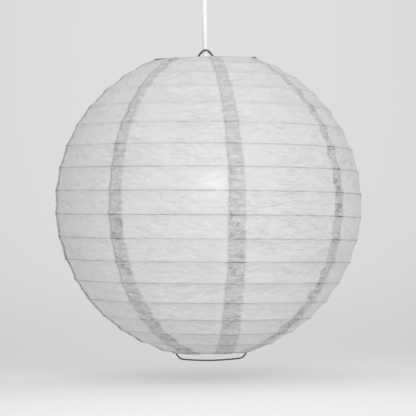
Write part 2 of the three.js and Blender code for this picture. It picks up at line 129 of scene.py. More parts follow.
class Nodes:
    """A material's node tree, with short calls to add and wire nodes."""

    def __init__(self, name):
        self.material = bpy.data.materials.new(name)
        self.material.use_nodes = True
        self.tree = self.material.node_tree
        self.shader = self.tree.nodes["Principled BSDF"]
        self.output = self.tree.nodes["Material Output"]

    def add(self, kind, **settings):
        node = self.tree.nodes.new("ShaderNode" + kind)
        for name, value in settings.items():
            setattr(node, name, value)
        return node

    def link(self, source, target):
        self.tree.links.new(source, target)

    def set(self, node, **values):
        for name, value in values.items():
            node.inputs[name.replace("_", " ")].default_value = value

    def math(self, operation, a, b=None, clamp=False):
        node = self.add("Math", operation=operation, use_clamp=clamp)
        for socket, value in zip(node.inputs, (a, b)):
            if value is None:
                continue
            if isinstance(value, (int, float)):
                socket.default_value = value
            else:
                self.link(value, socket)
        return node.outputs[0]

    def noise(self, vector, scale, detail=2.0, roughness=0.5, distortion=0.0):
        node = self.add("TexNoise")
        self.set(node, Scale=scale, Detail=detail, Roughness=roughness, Distortion=distortion)
        self.link(vector, node.inputs["Vector"])
        return node.outputs["Fac"]

    def scaled(self, vector, x, y, z):
        node = self.add("VectorMath", operation="MULTIPLY")
        node.inputs[1].default_value = (x, y, z)
        self.link(vector, node.inputs[0])
        return node.outputs[0]

    def bump(self, height, strength, distance, normal=None):
        node = self.add("Bump")
        self.set(node, Strength=strength, Distance=distance)
        self.link(height, node.inputs["Height"])
        if normal is not None:
            self.link(normal, node.inputs["Normal"])
        return node.outputs["Normal"]

    def tint(self, factor, dark, light):
        """A colour between two, by a factor."""
        node = self.add("Mix", data_type="RGBA")
        node.inputs["A"].default_value = (*dark, 1.0)
        node.inputs["B"].default_value = (*light, 1.0)
        self.link(factor, node.inputs["Factor"])
        return node.outputs["Result"]


def grey(value, warmth=0.0):
    """A grey, or a slightly warm one."""
    return (value + warmth, value, value - warmth)


def mesh_object(name, points, faces, material, body):
    """A smooth-shaded piece that rides on a body and takes its finish from a slot."""
    mesh = bpy.data.meshes.new(name)
    mesh.from_pydata([tuple(p) for p in points], [], [tuple(f) for f in faces])
    mesh.update()
    mesh.materials.append(material)
    mesh.polygons.foreach_set("use_smooth", [True] * len(mesh.polygons))
    piece = bpy.data.objects.new(name, mesh)
    bpy.context.scene.collection.objects.link(piece)
    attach(piece, body)
    return piece


def grid_faces(rows, columns, close_rows=False, close_columns=False):
    """Quads of a grid of points listed row by row."""
    i = np.arange(rows if close_rows else rows - 1)[:, None]
    j = np.arange(columns if close_columns else columns - 1)[None, :]
    below, beside = (i + 1) % rows, (j + 1) % columns
    corners = [i * columns + j, below * columns + j, below * columns + beside, i * columns + beside]
    return np.stack([np.broadcast_to(c, (len(i), j.shape[1])) for c in corners], -1).reshape(-1, 4)


def smoothstep(x, low, high):
    """0 at low and 1 at high, with a smooth start and end."""
    t = np.clip((x - low) / (high - low), 0.0, 1.0)
    return t * t * (3 - 2 * t)


# ---- materials ------------------------------------------------------------------------------

def ridge(n, field, width):
    """1 where a noise crosses its middle, falling to 0 on both sides."""
    off = n.math("ABSOLUTE", n.math("SUBTRACT", field, 0.5))
    return n.math("SUBTRACT", 1.0, n.math("DIVIDE", off, width), clamp=True)


def patches_of(n, field, least, gain):
    """0 where a noise is under its least, rising to 1 above it."""
    return n.math("MULTIPLY", n.math("SUBTRACT", field, least), gain, clamp=True)


def strongest(n, fields):
    """The largest of several values at each place."""
    most = fields[0]
    for field in fields[1:]:
        most = n.math("MAXIMUM", most, field)
    return most


def paper_fibres(n, rest):
    """Long thin strands that lie every way in the paper."""
    strands = []
    for scale, stretch in ((150.0, (1.0, 1.0, 2.6)), (260.0, (1.7, 1.7, 1.0)), (90.0, (1.0, 1.4, 1.2))):
        tangle = n.noise(n.scaled(rest, *stretch), scale, 1.0, 0.5, 1.4)
        strands.append(ridge(n, tangle, 0.038))
    return strongest(n, strands)


def paper_lines(n, rest):
    """Fine slanting crease lines, in patches. They are painted shade in the paper's colour and also go
    into its bump.
    """
    lines = []
    for turn, scale in ((22.0, 34.0), (-17.0, 41.0)):
        slanted = n.add("Mapping")
        slanted.inputs["Rotation"].default_value = (0.0, math.radians(turn), 0.0)
        slanted.inputs["Scale"].default_value = (1.0, 1.0, 3.6)
        n.link(rest, slanted.inputs["Vector"])
        line = ridge(n, n.noise(slanted.outputs[0], scale, 1.0, 0.45, 0.15), 0.015)
        here = patches_of(n, n.noise(rest, 20.0 + turn / 4, 1.0), 0.47, 6.0)
        lines.append(n.math("MULTIPLY", line, here))
    return strongest(n, lines)


def fainter_above(n, rest):
    """1 in the lower half of the lantern, falling towards its top, where the light comes from."""
    place = n.add("SeparateXYZ")
    n.link(rest, place.inputs[0])
    faded = n.add("MapRange", interpolation_type="SMOOTHSTEP")
    n.set(faded, From_Min=CENTRE_Z + 0.03, From_Max=CENTRE_Z + 0.14, To_Min=1.0, To_Max=0.25)
    n.link(place.outputs[2], faded.inputs["Value"])
    return faded.outputs[0]


def rib_shadow(n, rest, rib_mm, faded):
    """Painted shadow of the wire seen through the paper: a dark line where the paper lies on the wire, in
    patches, and fainter towards the top.
    """
    near = n.math("SUBTRACT", 1.0, n.math("MULTIPLY", n.math("ABSOLUTE", rib_mm), 1.1), clamp=True)
    shade_patches = patches_of(n, n.noise(rest, 34.0, 3.0, 0.6), 0.22, 2.6)
    return n.math("MULTIPLY", near, n.math("MULTIPLY", shade_patches, faded))


def seam_wrinkle_shade(n, rest, lap, near_seam, faded):
    """Painted shade of short wrinkles across a seam's two layers, in patches, fainter towards the top."""
    marks = ridge(n, n.noise(n.scaled(rest, 1.0, 1.0, 3.6), 48.0, 2.0, 0.5, 0.9), 0.09)
    here = patches_of(n, n.noise(rest, 60.0, 1.0), 0.46, 6.0)
    reach = n.math("ADD", n.math("MULTIPLY", lap, 0.85), n.math("MULTIPLY", near_seam, 0.15))
    return n.math("MULTIPLY", n.math("MULTIPLY", marks, here), n.math("MULTIPLY", reach, faded))


def paper_material():
    """Thin long-fibred paper, with painted shade along the rib, in the seams and in fine creases, and
    painted light and shade on the folds. It reads the rest place and the rib and seam marks from the mesh.
    """
    n = Nodes("paper")
    rest = n.add("Attribute", attribute_name="rest").outputs["Vector"]
    marks = n.add("Attribute", attribute_name="marks").outputs["Vector"]
    fold_light_and_shade = n.add("Attribute", attribute_name="crease").outputs["Fac"]
    split = n.add("SeparateXYZ")
    n.link(marks, split.inputs[0])
    rib_mm, inside_lap_mm, near_seam = split.outputs
    ragged_mm = n.math("MULTIPLY", n.math("SUBTRACT", n.noise(rest, 260.0, 2.0), 0.5), 2.4)
    lap = n.math("MULTIPLY", n.math("ADD", inside_lap_mm, ragged_mm), 1.6)
    lap = n.math("ADD", lap, 0.5, clamp=True)

    cloud = n.noise(rest, 38.0, 3.0)
    mottle = n.noise(rest, 420.0, 3.0, 0.6)
    fibres = paper_fibres(n, rest)
    # Fine crease lines: painted shade in the colour, and part of the bump.
    lines = paper_lines(n, rest)
    faded = fainter_above(n, rest)
    painted_rib_shade = rib_shadow(n, rest, rib_mm, faded)
    # Painted shade in short wrinkles across the seams.
    wrinkle_shade = seam_wrinkle_shade(n, rest, lap, near_seam, faded)

    level = 0.865
    for strength, amount in (
        # Painted light on the folds' crests and painted shade in their hollows, and painted shade along
        # fine crease lines.
        (0.030, cloud), (0.040, mottle), (0.034, fibres), (0.06, fold_light_and_shade), (-0.035, lines),
        # Painted shadow of the rib seen through the paper, darker still inside the seams' overlaps, and
        # painted shade in the seams' wrinkles.
        (-0.37, painted_rib_shade), (-0.25, n.math("MULTIPLY", painted_rib_shade, near_seam)), (-0.30, wrinkle_shade),
        # Painted shade in the seams' overlaps, where two layers let less light through.
        (-0.022, lap),
    ):
        level = n.math("ADD", level, n.math("MULTIPLY", amount, strength))
    colour = n.tint(level, (0.0, 0.0, 0.0), (0.98, 0.98, 0.978))
    n.link(colour, n.shader.inputs["Base Color"])
    n.set(n.shader, Roughness=0.82, Specular_IOR_Level=0.25)

    fine = n.bump(mottle, 0.4, 0.0005)
    fine = n.bump(fibres, 0.4, 0.0003, fine)
    crumple = n.noise(n.scaled(rest, 1.0, 1.0, 2.2), 105.0, 4.0, 0.62, 0.6)
    crumple = n.math("MULTIPLY", crumple, n.math("ADD", 1.0, n.math("MULTIPLY", near_seam, 2.2)))
    crumple = n.math("ADD", crumple, n.math("MULTIPLY", lines, 0.20))
    normal = n.bump(crumple, 0.8, 0.0024, fine)
    n.link(normal, n.shader.inputs["Normal"])

    light_through = 0.34
    through = n.add("BsdfTranslucent")
    n.link(colour, through.inputs["Color"])
    n.link(normal, through.inputs["Normal"])
    mix = n.add("MixShader")
    mix.inputs[0].default_value = light_through
    n.link(n.shader.outputs[0], mix.inputs[1])
    n.link(through.outputs[0], mix.inputs[2])
    n.link(mix.outputs[0], n.output.inputs["Surface"])
    return n.material


def wire_material():
    """Dark grey steel wire with faint drawing lines."""
    n = Nodes("steel_wire")
    place = n.add("TexCoord").outputs["Object"]
    drawn = n.noise(n.scaled(place, 1.0, 1.0, 0.2), 900.0, 3.0, 0.6)
    n.link(n.tint(drawn, grey(0.06), grey(0.13)), n.shader.inputs["Base Color"])
    rough = n.math("ADD", 0.28, n.math("MULTIPLY", n.noise(place, 300.0, 3.0), 0.25))
    n.link(rough, n.shader.inputs["Roughness"])
    n.set(n.shader, Metallic=0.85)
    n.link(n.bump(drawn, 0.2, 0.0002), n.shader.inputs["Normal"])
    return n.material


def plastic_material(name, level, roughness, grain, warmth=0.008):
    """Moulded plastic: even colour, faint cloudiness, and a fine moulded grain."""
    n = Nodes(name)
    place = n.add("TexCoord").outputs["Object"]
    cloud = n.noise(place, 60.0, 3.0)
    n.link(n.tint(cloud, grey(level - 0.03, warmth), grey(level, warmth)), n.shader.inputs["Base Color"])
    scuffs = n.noise(n.scaled(place, 1.0, 1.0, 0.3), 240.0, 4.0, 0.7)
    n.link(n.math("ADD", roughness - 0.06, n.math("MULTIPLY", scuffs, 0.14)), n.shader.inputs["Roughness"])
    n.link(n.bump(n.noise(place, 1800.0, 2.0), 0.25, grain), n.shader.inputs["Normal"])
    return n.material


def metal_material(name, dark, light, roughness):
    """Bare metal with faint stains and fine rolling lines."""
    n = Nodes(name)
    place = n.add("TexCoord").outputs["Object"]
    stain = n.noise(place, 160.0, 4.0, 0.6)
    n.link(n.tint(stain, dark, light), n.shader.inputs["Base Color"])
    n.link(n.math("ADD", roughness - 0.1, n.math("MULTIPLY", stain, 0.25)), n.shader.inputs["Roughness"])
    n.set(n.shader, Metallic=1.0)
    rolled = n.noise(n.scaled(place, 1.0, 1.0, 6.0), 700.0, 2.0)
    n.link(n.bump(rolled, 0.2, 0.0001), n.shader.inputs["Normal"])
    return n.material


def opal_material():
    """White glass with a smooth glossy skin."""
    n = Nodes("opal_glass")
    place = n.add("TexCoord").outputs["Object"]
    cloud = n.noise(place, 45.0, 2.0)
    n.link(n.tint(cloud, grey(0.86, 0.01), grey(0.92, 0.01)), n.shader.inputs["Base Color"])
    n.link(n.math("ADD", 0.16, n.math("MULTIPLY", cloud, 0.08)), n.shader.inputs["Roughness"])
    n.set(n.shader, Coat_Weight=0.4, Coat_Roughness=0.08)
    return n.material


PAPER = paper_material()
WIRE = wire_material()
WHITE_PLASTIC = plastic_material("white_plastic", 0.80, 0.30, 0.00004)
NYLON = plastic_material("nylon", 0.74, 0.55, 0.00010, 0.015)
PVC = plastic_material("white_pvc", 0.90, 0.42, 0.00006)
PHENOLIC = plastic_material("phenolic", 0.60, 0.60, 0.00010, 0.03)
BLACK = plastic_material("black_ring", 0.05, 0.25, 0.00003, 0.0)
BRASS = metal_material("brass", (0.50, 0.36, 0.14), (0.70, 0.54, 0.25), 0.35)
ALUMINIUM = metal_material("aluminium", grey(0.55), grey(0.70), 0.35)
STEEL = metal_material("zinc_steel", grey(0.42), grey(0.58), 0.38)
OPAL = opal_material()


# ---- shapes ---------------------------------------------------------------------------------

def rounded(outline, radius, steps=4):
    """The outline with each corner turned into a small bend. Corners are [radius, z] in mm."""
    points = [np.array(p, float) for p in outline]
    made = []
    count = len(points)
    for i, here in enumerate(points):
        before, after = points[i - 1], points[(i + 1) % count]
        if here[0] == 0 and (before[0] == 0 or after[0] == 0):
            made.append(here)
            continue
        back, on = before - here, after - here
        reach = min(radius, 0.4 * np.hypot(*back), 0.4 * np.hypot(*on))
        start = here + back / np.hypot(*back) * reach
        end = here + on / np.hypot(*on) * reach
        for t in np.linspace(0, 1, steps):
            made.append((1 - t) ** 2 * start + 2 * t * (1 - t) * here + t * t * end)
    return made


def turned(name, outline, material, body, node, bend, sides=96, relief=None):
    """Turn a closed outline in mm about the Z axis, with its corners bent by a radius.

    relief gives what is added to the radius at each place, such as a thread or grip ribs.
    """
    profile = np.array(rounded(outline, bend) if bend else outline, float)
    angles = 2 * np.pi * np.arange(sides) / sides
    r = np.repeat(profile[:, :1], sides, 1)
    z = np.repeat(profile[:, 1:], sides, 1)
    if relief:
        r = r + relief(r, z, angles[None, :])
    points = np.stack([r * np.cos(angles), r * np.sin(angles), z], -1).reshape(-1, 3) * MM
    piece = mesh_object(name, points, grid_faces(len(profile), sides, True, True), material, body)
    tidy_normals(piece)
    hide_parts(node)
    return piece


def tidy_normals(piece, weld=1e-6):
    """Weld points that lie together, drop faces with no area, and point all faces out."""
    bm = bmesh.new()
    bm.from_mesh(piece.data)
    bmesh.ops.remove_doubles(bm, verts=bm.verts, dist=weld)
    bmesh.ops.dissolve_degenerate(bm, edges=bm.edges, dist=weld)
    bmesh.ops.recalc_face_normals(bm, faces=bm.faces)
    bm.to_mesh(piece.data)
    bm.free()
    piece.data.polygons.foreach_set("use_smooth", [True] * len(piece.data.polygons))


def tube_points(path, radius, sides):
    """Rings of points round a path, turned as little as possible from one to the next."""
    path = np.asarray(path, float)
    tangent = np.gradient(path, axis=0)
    tangent /= np.linalg.norm(tangent, axis=1)[:, None]
    helper = np.array([0.0, 0.0, 1.0]) if abs(tangent[0][2]) < 0.9 else np.array([0.0, 1.0, 0.0])
    side = np.cross(tangent[0], helper)
    side /= np.linalg.norm(side)
    a = 2 * np.pi * np.arange(sides) / sides
    rings = []
    for p, t in zip(path, tangent):
        side = side - t * (side @ t)
        side /= np.linalg.norm(side)
        up = np.cross(t, side)
        rings.append(p + radius * (np.cos(a)[:, None] * side + np.sin(a)[:, None] * up))
    return np.array(rings)


def tube(name, path, radius, sides, material, body, node):
    """A solid round wire with flat ends, in metres, that stands for a CAD node."""
    rings = tube_points(path, radius, sides)
    faces = [tuple(f) for f in grid_faces(len(rings), sides, close_columns=True)]
    faces.append(tuple(range(sides)))
    faces.append(tuple(len(rings) * sides - 1 - i for i in range(sides)))
    piece = mesh_object(name, rings.reshape(-1, 3), faces, material, body)
    tidy_normals(piece, 1e-7)
    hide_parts(node)
    return piece


def bent(corners, bend, steps=8):
    """A polyline in mm with its inner corners rounded."""
    corners = [np.array(c, float) for c in corners]
    points = [corners[0]]
    for before, here, after in zip(corners, corners[1:], corners[2:]):
        back, on = before - here, after - here
        reach = min(bend, 0.45 * np.linalg.norm(back), 0.45 * np.linalg.norm(on))
        start = here + back / np.linalg.norm(back) * reach
        end = here + on / np.linalg.norm(on) * reach
        for t in np.linspace(0, 1, steps):
            points.append((1 - t) ** 2 * start + 2 * t * (1 - t) * here + t * t * end)
    points.append(corners[-1])
    return points


def resampled(points, step):
    """Points at even distances along a polyline, keeping its ends."""
    points = np.asarray(points, float)
    along = np.concatenate([[0], np.cumsum(np.linalg.norm(np.diff(points, axis=0), axis=1))])
    wanted = np.linspace(0, along[-1], max(2, int(round(along[-1] / step)) + 1))
    return np.stack([np.interp(wanted, along, points[:, k]) for k in range(3)], -1)


# ---- cord -----------------------------------------------------------------------------------

def pendant_cord():
    """The flex, from inside the holder's cap up to the ball in the rose's neck."""
    gap_mm = 0.4
    top = (PIVOT_Z_MM - BALL_R_MM - gap_mm) * MM
    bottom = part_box("pendant_cord")[0].z
    steps = 16
    curve = bpy.data.curves.new("pendant_flex", "CURVE")
    curve.dimensions = "3D"
    curve.bevel_depth = CORD_R_MM * MM
    curve.bevel_resolution = 6
    curve.use_fill_caps = True
    spline = curve.splines.new("POLY")
    spline.points.add(steps)
    for i, point in enumerate(spline.points):
        point.co = (0.0, 0.0, bottom + (top - bottom) * i / steps, 1.0)
    curve.materials.append(PVC)
    piece = bpy.data.objects.new("pendant_flex", curve)
    bpy.context.scene.collection.objects.link(piece)
    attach(piece, "pendant")
    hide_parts("pendant_cord")
    return piece, (0.0, 0.0, bottom), top - bottom


flex, flex_start, flex_length = pendant_cord()


# ---- lantern: wires -------------------------------------------------------------------------

def on_sphere(radius_mm, angle, latitude):
    """Points on the lantern's sphere, in metres, from degrees."""
    a, b = np.radians(angle), np.radians(latitude)
    ring = radius_mm * np.cos(b)
    x, y, z = ring * np.cos(a), ring * np.sin(a), radius_mm * np.sin(b)
    return np.stack([x * MM, y * MM, z * MM + CENTRE_Z], -1)


def spiral_latitude(angle):
    """Latitude of the rib after that many degrees of winding."""
    return TOP_LATITUDE - PITCH * (angle - SPIRAL_START) / 360.0


def collapses(piece):
    """Gives the piece its own copy of its mesh."""
    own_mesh(piece)


def spiral_rib():
    """The long wire, one spiral from beside the top ring to beside the bottom ring."""
    steps_per_turn = 96
    skip = 22.0  # degrees left free at each end
    angles = np.linspace(SPIRAL_START + skip, SPIRAL_START + 360 * TURNS - skip, TURNS * steps_per_turn)
    radius = PAPER_R_MM - HALF_PAPER_MM - RIB_WIRE_MM
    path = on_sphere(radius, angles, spiral_latitude(angles))
    piece = tube("spiral_wire", path, RIB_WIRE_MM * MM, 8, WIRE, "lantern", "spiral_rib")
    collapses(piece)
    return piece


def ring_wire(name, latitude, body, node):
    """The closed wire ring at one end of the paper."""
    sides, steps = 12, 160
    a = 2 * np.pi * np.arange(steps) / steps
    b = 2 * np.pi * np.arange(sides) / sides
    r = RING_R_MM * math.cos(math.radians(latitude))
    z = RING_R_MM * math.sin(math.radians(latitude))
    out = r + RING_WIRE_MM * np.cos(b)[None, :]
    points = np.stack([out * np.cos(a)[:, None], out * np.sin(a)[:, None],
                       np.broadcast_to(z + RING_WIRE_MM * np.sin(b), (steps, sides))], -1) * MM
    points[..., 2] += CENTRE_Z
    faces = grid_faces(steps, sides, True, True)
    piece = mesh_object(name, points.reshape(-1, 3), faces, WIRE, body)
    tidy_normals(piece)
    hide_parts(node)
    return piece


def expander():
    """One bent wire: bottom span, legs, hooks under the top ring and two arched top bars."""
    top_z = RING_R_MM * math.sin(math.radians(TOP_LATITUDE))
    top_r = RING_R_MM * math.cos(math.radians(TOP_LATITUDE))
    bottom_z = RING_R_MM * math.sin(math.radians(BOTTOM_LATITUDE))
    leg = 40.6  # from the middle to each leg
    bar_y = 4.45  # each top bar passes the flex on its own side
    bar = top_z + 4.0
    bar_end = 26.0
    under_ring = top_z - RING_WIRE_MM - WIRE_MM - 0.3
    hook_end = top_r + 3.3
    beside_ring = top_r - RING_WIRE_MM - WIRE_MM - 0.6
    span_end = bottom_z - 8.6
    bow, arch_rise, arch_half = 2.2, 9.5, 9.5
    step = 1.6

    def side(s):
        """Half of the wire, from the middle of the bottom span. s is 1 on the right, -1 on the left."""
        corners = [(0, 0, span_end - bow)]
        for t in (0.3, 0.6, 0.85):
            corners.append((t * (leg - 5), 0, span_end - bow * (1 - t * t)))
        corners += [
            (leg - 5, 0, span_end), (leg, 0, bottom_z - 2), (leg, 0, top_z - 15),
            (beside_ring, 0, under_ring - 3), (hook_end, 0, under_ring - 2.4),
            (hook_end, 0, under_ring), (beside_ring, 0, under_ring), (beside_ring, 0, bar),
            (arch_half + 17, bar_y, bar), (arch_half + 1.5, bar_y, bar),
        ]
        corners = [np.array(c, float) for c in corners]
        path = bent(corners, 2.2)
        for x in np.linspace(arch_half, -arch_half, 25):
            lift = arch_rise * (1 - (x / arch_half) ** 2)
            path.append(np.array([x, bar_y, bar + lift]))
        path += [np.array([-arch_half - 1.5, bar_y, bar]), np.array([-bar_end, bar_y, bar])]
        path = np.array(path)
        path[:, :2] *= s
        return path

    right = side(1)
    left = side(-1)
    path = resampled(np.concatenate([left[::-1], right[1:]]), step) * MM
    for _ in range(2):  # ease the last small kinks
        path[1:-1] = (path[:-2] + 2 * path[1:-1] + path[2:]) / 4
    path[:, 2] += CENTRE_Z
    return tube("expander_wire", path, WIRE_MM * MM, 12, WIRE, "lantern", "expander_frame")


# ---- lantern: paper -------------------------------------------------------------------------

def lattice_noise(x, y, seed, period=None):
    """Smooth noise between -1 and 1. It repeats along x after a whole number of cells."""
    xi, yi = np.floor(x).astype(np.int64), np.floor(y).astype(np.int64)
    fx, fy = x - xi, y - yi

    def corner(i, j):
        column = (xi + i) % period if period else xi + i
        mixed = (column * 374761393 + (yi + j) * 668265263 + seed * 974711) & 0xFFFFFFFF
        mixed = ((mixed ^ (mixed >> 13)) * 1274126177) & 0xFFFFFFFF
        turn = (mixed ^ (mixed >> 16)) * (2 * np.pi / 2 ** 32)
        return np.cos(turn) * (fx - i) + np.sin(turn) * (fy - j)

    u, v = smoothstep(fx, 0, 1), smoothstep(fy, 0, 1)
    low = corner(0, 0) * (1 - u) + corner(1, 0) * u
    high = corner(0, 1) * (1 - u) + corner(1, 1) * u
    return 1.5 * (low * (1 - v) + high * v)


def folds(angle, latitude, across_mm, along_mm, lean, seed):
    """Sharp-crested folds, from 0 to about 1. lean slants them, in mm down for each mm across."""
    cells = max(3, int(round(2 * np.pi * PAPER_R_MM / across_mm)))
    x = angle / 360.0 * cells
    down = -latitude * math.pi / 180 * PAPER_R_MM
    across = (angle % 360.0) * math.pi / 180 * PAPER_R_MM
    y = (down + lean * across) / along_mm
    return 1 - np.abs(lattice_noise(x, y, seed, None if lean else cells)) * 1.6


def lap_mm(latitude):
    """Width of a seam's overlap. It changes evenly from the equator to each end."""
    share = np.where(latitude > 0, latitude / TOP_LATITUDE, latitude / BOTTOM_LATITUDE)
    end = np.where(latitude > 0, LAP_MM["top"], LAP_MM["bottom"])
    return LAP_MM["equator"] + (end - LAP_MM["equator"]) * share


def mm_to_degrees(mm, latitude):
    """Degrees round the lantern that a length along its skin spans."""
    return np.degrees(mm / (PAPER_R_MM * np.cos(np.radians(latitude))))


SEAM_LEAN = rng.uniform(-2.5, 2.5, GORES)  # mm that each seam wanders to at its bottom end
SEAM_LEAN[0] = 6.0


def seam_angle(index, latitude):
    """Middle of a seam's overlap. It strays a little from its meridian."""
    k = index % GORES
    base = FIRST_SEAM + 360.0 / GORES * index
    low = smoothstep(-latitude, 25.0, 76.0)
    column = np.full_like(latitude, 0.37 + 7 * k)
    wander = SEAM_LEAN[k] * low + 1.3 * lattice_noise(column, latitude / 21.0, 5 + k)
    return base + mm_to_degrees(wander, latitude)


def nearness_to_seams(angle, latitude):
    """1 within a seam's overlap, falling to 0 a few mm outside it."""
    near_seam = np.zeros_like(angle)
    for k in range(GORES):
        off = (angle - seam_angle(k, latitude) + 180) % 360 - 180
        off_mm = np.radians(off) * PAPER_R_MM * np.cos(np.radians(latitude))
        reach = 0.5 * lap_mm(latitude)
        near_seam = np.maximum(near_seam, 1 - smoothstep(np.abs(off_mm), reach - 1.5, reach + 2.5))
    return near_seam


def turns_down(angle, latitude):
    """How many turns of the rib lie above a place. It is a whole number on the rib."""
    return (spiral_latitude(angle % 360.0) - latitude) / PITCH


def paper_height(angle, latitude):
    """How far the paper stands from the sphere through the rib, in mm.

    Also how near each place is to a seam, and its crease: up to 1 on a crest, down to -0.6 in a hollow.
    The crease paints the paper lighter on the crests and darker in the hollows.
    """
    chord_mm, sag_mm, fold_mm, seam_fold_mm, rib_crest_mm = 0.48, 1.25, 1.35, 0.85, 0.35
    phase = turns_down(angle, latitude)
    bay_index = np.floor(phase)
    band = phase - bay_index
    bay = 4 * band * (1 - band)  # 0 on the rib, 1 midway between two turns
    slack = 0.85 + 0.5 * lattice_noise(angle / 360 * 14, bay_index * 1.7, 31, 14)
    height = -(chord_mm + sag_mm * slack) * bay
    height += 0.55 * bay * lattice_noise(angle / 360 * 20, latitude / 6.5, 32, 20)

    near_seam = nearness_to_seams(angle, latitude)
    patches = smoothstep(lattice_noise(angle / 360 * 22, latitude / 14.0, 41, 22), -0.35, 0.5)
    calm = 0.3 + 0.7 * bay  # the rib holds the paper still
    rising = patches * folds(angle, latitude, 36, 6.5, 0.30, 51)
    falling = (1 - patches) * folds(angle, latitude, 32, 6.0, -0.30, 52)
    height += fold_mm * calm * (rising + falling - 0.5)
    height += 0.26 * calm * (folds(angle, latitude, 60, 7.5, 0.0, 53) - 0.5)
    top = smoothstep(latitude, 20.0, 60.0)
    height += (0.20 + 0.30 * top) * calm * (folds(angle, latitude, 11, 8.0, 0.0, 54) - 0.5)
    crinkle = folds(angle, latitude, 26, 4.8, 0.0, 55) + 0.6 * folds(angle, latitude, 13, 3.6, 0.12, 56)
    height += seam_fold_mm * near_seam * calm * (crinkle - 0.8)

    from_rib_mm = np.abs(phase - np.round(phase)) * np.radians(PITCH) * PAPER_R_MM
    height += rib_crest_mm * np.exp(-(from_rib_mm / 0.9) ** 2)
    over_wire_mm = 0.18 - 0.55 * np.maximum(from_rib_mm - 1.9, 0)
    height = np.maximum(height, over_wire_mm)
    # The crease value paints the paper's colour lighter on fold crests and darker in their hollows.
    hollows = smoothstep(0.45 - rising - falling, 0.0, 0.4)
    crease = smoothstep(rising + falling, 0.82, 1.0) * bay - 0.6 * hollows
    return height, near_seam, crease


def gore_grid(index):
    """Angles and latitudes of one gore's grid of points."""
    rows = TURNS * 14 + 1
    columns = 93
    down = np.linspace(0, 1, rows)
    across = np.linspace(0, 1, columns)
    across = across - 0.5 * np.sin(2 * np.pi * across) / (2 * np.pi)  # closer near the seams
    middle = FIRST_SEAM + 360.0 / GORES * (index + 0.5)
    latitude = TOP_LATITUDE + (BOTTOM_LATITUDE - TOP_LATITUDE) * down[:, None] + 0 * across[None, :]
    hold = smoothstep(down, 0, 0.07) * smoothstep(1 - down, 0, 0.07)
    near = seam_angle(index, latitude[:, 0])
    far = seam_angle(index + 1, latitude[:, 0])
    ragged = [lattice_noise(np.full(rows, 3.1 + index), down * 60, 61 + side)
              + 0.5 * lattice_noise(np.full(rows, 8.7 + index), down * 170, 71 + side) for side in (0, 1)]
    half = lap_mm(latitude[:, 0]) / 2
    near = near - mm_to_degrees(half + ragged[0], latitude[:, 0])
    far = far + mm_to_degrees(half + ragged[1], latitude[:, 0])
    angle = near[:, None] + (far - near)[:, None] * across[None, :]
    shift = PITCH * (angle - middle) / 360.0
    return angle, latitude - shift * hold[:, None]


def paper_gore(index):
    """One gore with its hems, as a single sheet, folded over both rings."""
    angle, latitude = gore_grid(index)
    height, near_seam, crease = paper_height(angle, latitude)
    cos = np.cos(np.radians(latitude))
    seam = seam_angle(index + 1, latitude)
    over_mm = np.radians(angle - seam) * PAPER_R_MM * cos + lap_mm(latitude) / 2
    lift = 0.5 * smoothstep(over_mm, -1.3, 0.2)
    tip = smoothstep(over_mm, lap_mm(latitude) - 2.5, lap_mm(latitude) + 0.5)
    lift += 0.12 * tip * (1 + lattice_noise(angle * 0 + index, latitude / 3.0, 81))
    rim = smoothstep(TOP_LATITUDE - latitude, 0.0, 1.2) * smoothstep(latitude - BOTTOM_LATITUDE, 0.0, 1.2)
    height = height * rim + lift
    points = on_sphere(PAPER_R_MM + height, angle, latitude)

    phase = turns_down(angle, latitude)
    nearest_rib = (phase - np.round(phase)) * np.radians(PITCH) * PAPER_R_MM
    own = seam_angle(index, latitude)
    inside_mm = np.radians(angle - own) * PAPER_R_MM * cos + lap_mm(latitude) / 2
    lap = np.maximum(over_mm, lap_mm(latitude) - inside_mm)
    marks = np.stack([nearest_rib, lap, near_seam], -1)

    top = hem_rows(lift[0], angle[0], TOP_LATITUDE, index)
    bottom = hem_rows(lift[-1], angle[-1], BOTTOM_LATITUDE, index)
    points = np.concatenate([top[::-1], points, bottom])
    hems = [hem_marks(lap[row], near_seam[row]) for row in (0, -1)]
    marks = np.concatenate([hems[0][::-1], marks, hems[1]])
    crease = np.pad(crease, ((len(top), len(bottom)), (0, 0)))

    rows, columns = points.shape[:2]
    flat = points.reshape(-1, 3)
    name = f"gore_{index + 1}"
    piece = mesh_object(name, flat, grid_faces(rows, columns), PAPER, "lantern")
    for label, values in (("rest", flat), ("marks", marks.reshape(-1, 3))):
        layer = piece.data.attributes.new(label, "FLOAT_VECTOR", "POINT")
        layer.data.foreach_set("vector", np.ascontiguousarray(values, np.float32).ravel())
    layer = piece.data.attributes.new("crease", "FLOAT", "POINT")
    layer.data.foreach_set("value", np.ascontiguousarray(crease, np.float32).ravel())
    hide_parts(f"paper_gore_{index + 1}")
    collapses(piece)
    return piece


def hem_marks(lap, near_seam):
    """Marks of a hem's rows. The fold over the ring gets the rib's painted shadow, as the paper over a rib
    does.
    """
    rows = []
    for row in range(WRAP_ROWS + FLAP_ROWS):
        # The first rows of the fold over the wire take the rib's painted shadow; the rest lie too far from
        # it to take any.
        painted_shade_from_rib_mm = 0.6 if row < 3 else 9.0
        rows.append(np.stack([np.full_like(lap, painted_shade_from_rib_mm), lap, near_seam], -1))
    return np.array(rows)


